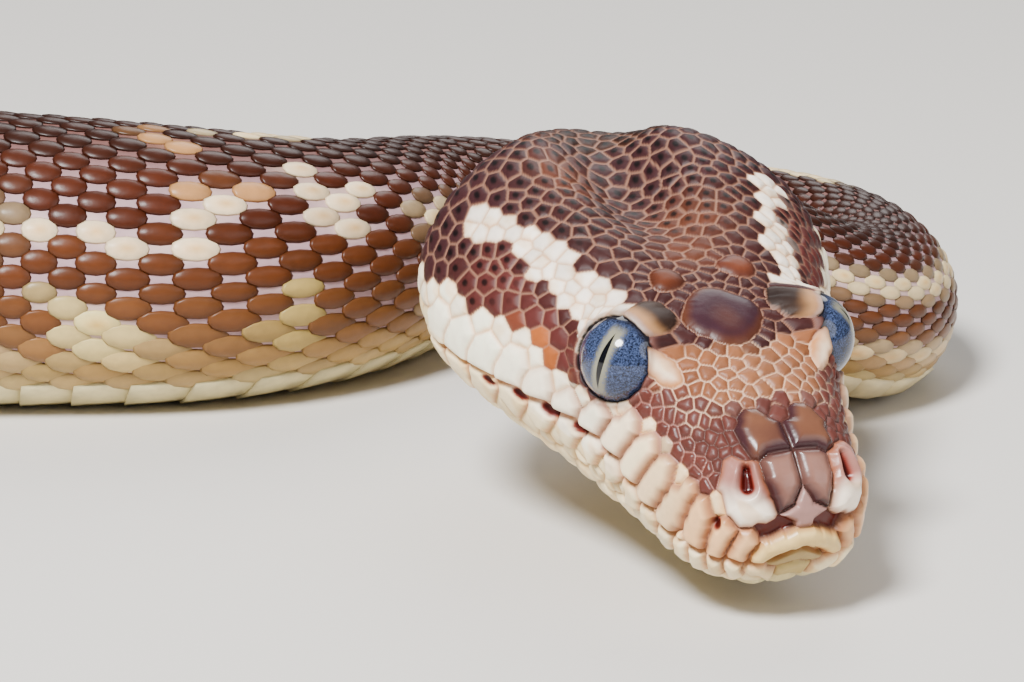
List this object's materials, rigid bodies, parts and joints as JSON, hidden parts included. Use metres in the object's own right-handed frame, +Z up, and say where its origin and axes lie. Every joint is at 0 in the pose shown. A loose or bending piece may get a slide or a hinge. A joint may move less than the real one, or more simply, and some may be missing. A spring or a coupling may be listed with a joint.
{
  "type": "coiled python snake",
  "caption": "Rough-scaled python at rest on the floor, mouth closed, neck folded in a tight S behind the low head and the body laid in a flat coil.",
  "frame": {"origin": "middle of the plan box, on the floor that the belly lies on", "axes": "+X along the longer side of the plan box, towards the end the head is at; the snout points to -Y and +X; +Z up"},
  "size_m": [0.417, 0.3546, 0.0376],
  "materials": {
    "skin": "satin",
    "throat": "satin",
    "eyes": "gloss"
  },
  "bodies": {
    "root": {"head": "skin", "lower_jaw": "throat", "eye_left": "eyes", "eye_right": "eyes", "neck": "skin", "trunk_1": "skin", "trunk_2": "skin", "trunk_3": "skin", "trunk_4": "skin", "trunk_5": "skin", "trunk_6": "skin", "trunk_7": "skin", "trunk_8": "skin", "trunk_9": "skin", "trunk_10": "skin", "tail": "skin", "tail_end": "skin"}
  },
  "joints": []
}
